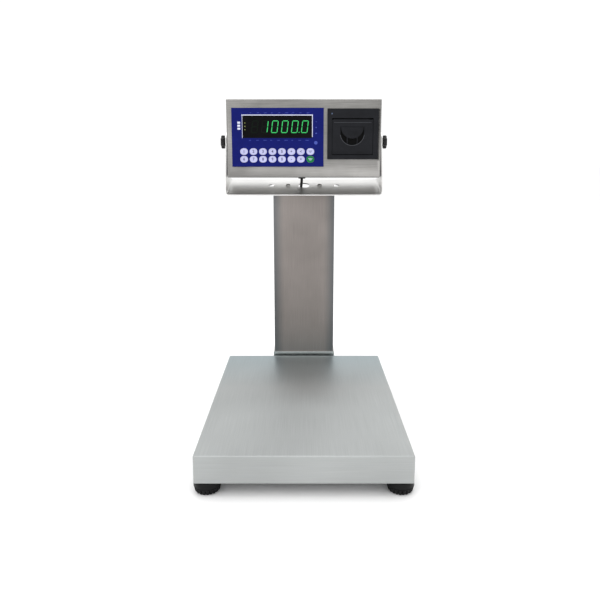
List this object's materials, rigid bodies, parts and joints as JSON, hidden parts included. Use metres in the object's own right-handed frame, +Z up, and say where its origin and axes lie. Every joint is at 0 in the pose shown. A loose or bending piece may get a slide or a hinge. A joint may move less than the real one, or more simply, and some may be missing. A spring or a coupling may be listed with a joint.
{
  "type": "bench scale",
  "caption": "Bench weighing scale: a flat lift-off pan on screw feet, a square column and a tilting indicator with keys, display and a ticket printer.",
  "frame": {"origin": "on the floor under the feet, at the centre of the whole footprint (platform and column together)", "axes": "+Z up, -Y towards the front where the operator stands, +X to the operator's right"},
  "size_m": [0.3184, 0.4734, 0.5583],
  "materials": {
    "painted_frame": "satin silver paint",
    "cell_aluminium": "anodised satin",
    "zinc_steel": "bright zinc plate",
    "black_rubber": "matt",
    "bright_stainless": "bright",
    "satin_stainless": "satin",
    "cable_black": "satin PVC",
    "bracket_stainless": "brushed",
    "pan_stainless": "fine brushed",
    "housing_stainless": "long grain brushed",
    "blue_membrane": "printed polyester",
    "window_black": "smoked",
    "circuit_board": "solder mask",
    "led_module": "dark with lit segments",
    "black_plastic": "moulded",
    "charcoal_plastic": "fine spark texture",
    "paper_white": "thermal paper",
    "foot_black": "moulded nylon and rubber",
    "key_green": "printed polyester",
    "key_lavender": "printed polyester"
  },
  "bodies": {
    "base": {"base_frame": "painted_frame", "load_cell": "cell_aluminium", "load_cell_bolts": "zinc_steel", "top_frame": "painted_frame", "pan_bumpers": "black_rubber", "overload_stops": "zinc_steel", "foot_nuts": "zinc_steel", "column_mount": "bright_stainless", "column": "satin_stainless", "column_rear_cover": "satin_stainless", "column_screws": "zinc_steel", "load_cell_cable": "cable_black", "indicator_bracket": "bracket_stainless", "friction_discs": "black_rubber"},
    "pan": {"platform_pan": "pan_stainless"},
    "indicator": {"indicator_housing": "housing_stainless", "indicator_rear_cover": "housing_stainless", "rear_gasket": "black_rubber", "rear_cover_screws": "zinc_steel", "keypad_overlay": "blue_membrane", "display_window": "window_black", "display_board": "circuit_board", "led_digits": "led_module", "main_board": "circuit_board", "cable_glands": "black_plastic", "printer_frame": "charcoal_plastic", "printer_bay": "charcoal_plastic", "indicator_cable": "cable_black"},
    "stud_1": {"foot_stud_1": "zinc_steel"},
    "foot_1": {"foot_pad_1": "foot_black"},
    "stud_2": {"foot_stud_2": "zinc_steel"},
    "foot_2": {"foot_pad_2": "foot_black"},
    "stud_3": {"foot_stud_3": "zinc_steel"},
    "foot_3": {"foot_pad_3": "foot_black"},
    "stud_4": {"foot_stud_4": "zinc_steel"},
    "foot_4": {"foot_pad_4": "foot_black"},
    "washer_left": {"knob_washer_left": "zinc_steel"},
    "knob_left": {"knob_left": "black_plastic"},
    "washer_right": {"knob_washer_right": "zinc_steel"},
    "knob_right": {"knob_right": "black_plastic"},
    "printer_door": {"printer_door": "charcoal_plastic"},
    "printer_latch": {"printer_latch": "charcoal_plastic"},
    "platen_roller": {"platen_roller": "black_rubber"},
    "paper_roll": {"paper_roll": "paper_white"},
    "key_01": {"key_01": "key_lavender"},
    "key_02": {"key_02": "key_lavender"},
    "key_03": {"key_03": "key_lavender"},
    "key_04": {"key_04": "key_lavender"},
    "key_05": {"key_05": "key_lavender"},
    "key_06": {"key_06": "key_lavender"},
    "key_07": {"key_07": "key_lavender"},
    "key_08": {"key_08": "key_lavender"},
    "key_09": {"key_09": "key_lavender"},
    "key_10": {"key_10": "key_lavender"},
    "key_11": {"key_11": "key_lavender"},
    "key_12": {"key_12": "key_lavender"},
    "key_13": {"key_13": "key_lavender"},
    "key_14": {"key_14": "key_lavender"},
    "key_15": {"key_15": "key_lavender"},
    "key_16": {"key_16": "key_green"}
  },
  "joints": [
    {"name": "pan_lift", "type": "slide", "parent": "base", "child": "pan", "axis": [0, 0, 1], "range_m": [0, 0.12]},
    {"name": "foot_1_screw", "type": "slide", "parent": "base", "child": "stud_1", "axis": [0, 0, -1], "range_m": [0, 0.012]},
    {"name": "foot_1_turn", "type": "hinge", "parent": "stud_1", "child": "foot_1", "pos_m": [-0.134, -0.21715, 0.009], "axis": [0, 0, -1], "range_deg": [0, 2880]},
    {"name": "foot_2_screw", "type": "slide", "parent": "base", "child": "stud_2", "axis": [0, 0, -1], "range_m": [0, 0.012]},
    {"name": "foot_2_turn", "type": "hinge", "parent": "stud_2", "child": "foot_2", "pos_m": [-0.134, 0.14385, 0.009], "axis": [0, 0, -1], "range_deg": [0, 2880]},
    {"name": "foot_3_screw", "type": "slide", "parent": "base", "child": "stud_3", "axis": [0, 0, -1], "range_m": [0, 0.012]},
    {"name": "foot_3_turn", "type": "hinge", "parent": "stud_3", "child": "foot_3", "pos_m": [0.134, -0.21715, 0.009], "axis": [0, 0, -1], "range_deg": [0, 2880]},
    {"name": "foot_4_screw", "type": "slide", "parent": "base", "child": "stud_4", "axis": [0, 0, -1], "range_m": [0, 0.012]},
    {"name": "foot_4_turn", "type": "hinge", "parent": "stud_4", "child": "foot_4", "pos_m": [0.134, 0.14385, 0.009], "axis": [0, 0, -1], "range_deg": [0, 2880]},
    {"name": "indicator_tilt", "type": "hinge", "parent": "base", "child": "indicator", "pos_m": [0, 0.18585, 0.4825], "axis": [1, 0, 0], "range_deg": [-40, 20], "deforming": ["indicator_cable"]},
    {"name": "knob_left_back_off", "type": "slide", "parent": "indicator", "child": "washer_left", "axis": [-1, 0, 0], "range_m": [0, 0.003]},
    {"name": "knob_left_turn", "type": "hinge", "parent": "washer_left", "child": "knob_left", "pos_m": [-0.15, 0.18585, 0.4825], "axis": [-1, 0, 0], "range_deg": [0, 1080]},
    {"name": "knob_right_back_off", "type": "slide", "parent": "indicator", "child": "washer_right", "axis": [1, 0, 0], "range_m": [0, 0.003]},
    {"name": "knob_right_turn", "type": "hinge", "parent": "washer_right", "child": "knob_right", "pos_m": [0.15, 0.18585, 0.4825], "axis": [1, 0, 0], "range_deg": [0, 1080]},
    {"name": "printer_door_hinge", "type": "hinge", "parent": "indicator", "child": "printer_door", "pos_m": [0.0895, 0.13895, 0.4602], "axis": [1, 0, 0], "range_deg": [0, 80]},
    {"name": "printer_latch_pull", "type": "hinge", "parent": "printer_door", "child": "printer_latch", "pos_m": [0.08905, 0.13805, 0.5076], "axis": [-1, 0, 0], "range_deg": [0, 22], "stiffness_Nm_per_rad": 0.02},
    {"name": "platen_turn", "type": "hinge", "parent": "printer_door", "child": "platen_roller", "pos_m": [0.08905, 0.14985, 0.5143], "axis": [1, 0, 0], "continuous": true},
    {"name": "paper_turn", "type": "hinge", "parent": "indicator", "child": "paper_roll", "pos_m": [0.09015, 0.17085, 0.4873], "axis": [1, 0, 0], "continuous": true},
    {"name": "key_01_press", "type": "slide", "parent": "indicator", "child": "key_01", "axis": [0, 1, 0], "range_m": [0, 0.0004], "stiffness_N_per_m": 1500},
    {"name": "key_02_press", "type": "slide", "parent": "indicator", "child": "key_02", "axis": [0, 1, 0], "range_m": [0, 0.0004], "stiffness_N_per_m": 1500},
    {"name": "key_03_press", "type": "slide", "parent": "indicator", "child": "key_03", "axis": [0, 1, 0], "range_m": [0, 0.0004], "stiffness_N_per_m": 1500},
    {"name": "key_04_press", "type": "slide", "parent": "indicator", "child": "key_04", "axis": [0, 1, 0], "range_m": [0, 0.0004], "stiffness_N_per_m": 1500},
    {"name": "key_05_press", "type": "slide", "parent": "indicator", "child": "key_05", "axis": [0, 1, 0], "range_m": [0, 0.0004], "stiffness_N_per_m": 1500},
    {"name": "key_06_press", "type": "slide", "parent": "indicator", "child": "key_06", "axis": [0, 1, 0], "range_m": [0, 0.0004], "stiffness_N_per_m": 1500},
    {"name": "key_07_press", "type": "slide", "parent": "indicator", "child": "key_07", "axis": [0, 1, 0], "range_m": [0, 0.0004], "stiffness_N_per_m": 1500},
    {"name": "key_08_press", "type": "slide", "parent": "indicator", "child": "key_08", "axis": [0, 1, 0], "range_m": [0, 0.0004], "stiffness_N_per_m": 1500},
    {"name": "key_09_press", "type": "slide", "parent": "indicator", "child": "key_09", "axis": [0, 1, 0], "range_m": [0, 0.0004], "stiffness_N_per_m": 1500},
    {"name": "key_10_press", "type": "slide", "parent": "indicator", "child": "key_10", "axis": [0, 1, 0], "range_m": [0, 0.0004], "stiffness_N_per_m": 1500},
    {"name": "key_11_press", "type": "slide", "parent": "indicator", "child": "key_11", "axis": [0, 1, 0], "range_m": [0, 0.0004], "stiffness_N_per_m": 1500},
    {"name": "key_12_press", "type": "slide", "parent": "indicator", "child": "key_12", "axis": [0, 1, 0], "range_m": [0, 0.0004], "stiffness_N_per_m": 1500},
    {"name": "key_13_press", "type": "slide", "parent": "indicator", "child": "key_13", "axis": [0, 1, 0], "range_m": [0, 0.0004], "stiffness_N_per_m": 1500},
    {"name": "key_14_press", "type": "slide", "parent": "indicator", "child": "key_14", "axis": [0, 1, 0], "range_m": [0, 0.0004], "stiffness_N_per_m": 1500},
    {"name": "key_15_press", "type": "slide", "parent": "indicator", "child": "key_15", "axis": [0, 1, 0], "range_m": [0, 0.0004], "stiffness_N_per_m": 1500},
    {"name": "key_16_press", "type": "slide", "parent": "indicator", "child": "key_16", "axis": [0, 1, 0], "range_m": [0, 0.0004], "stiffness_N_per_m": 1500}
  ],
  "couplings": [
    {"joint": "foot_1_screw", "follows": "foot_1_turn", "m_per_rad": 0.00023873},
    {"joint": "foot_2_screw", "follows": "foot_2_turn", "m_per_rad": 0.00023873},
    {"joint": "foot_3_screw", "follows": "foot_3_turn", "m_per_rad": 0.00023873},
    {"joint": "foot_4_screw", "follows": "foot_4_turn", "m_per_rad": 0.00023873},
    {"joint": "knob_left_back_off", "follows": "knob_left_turn", "m_per_rad": 0.00015915},
    {"joint": "knob_right_back_off", "follows": "knob_right_turn", "m_per_rad": 0.00015915}
  ]
}
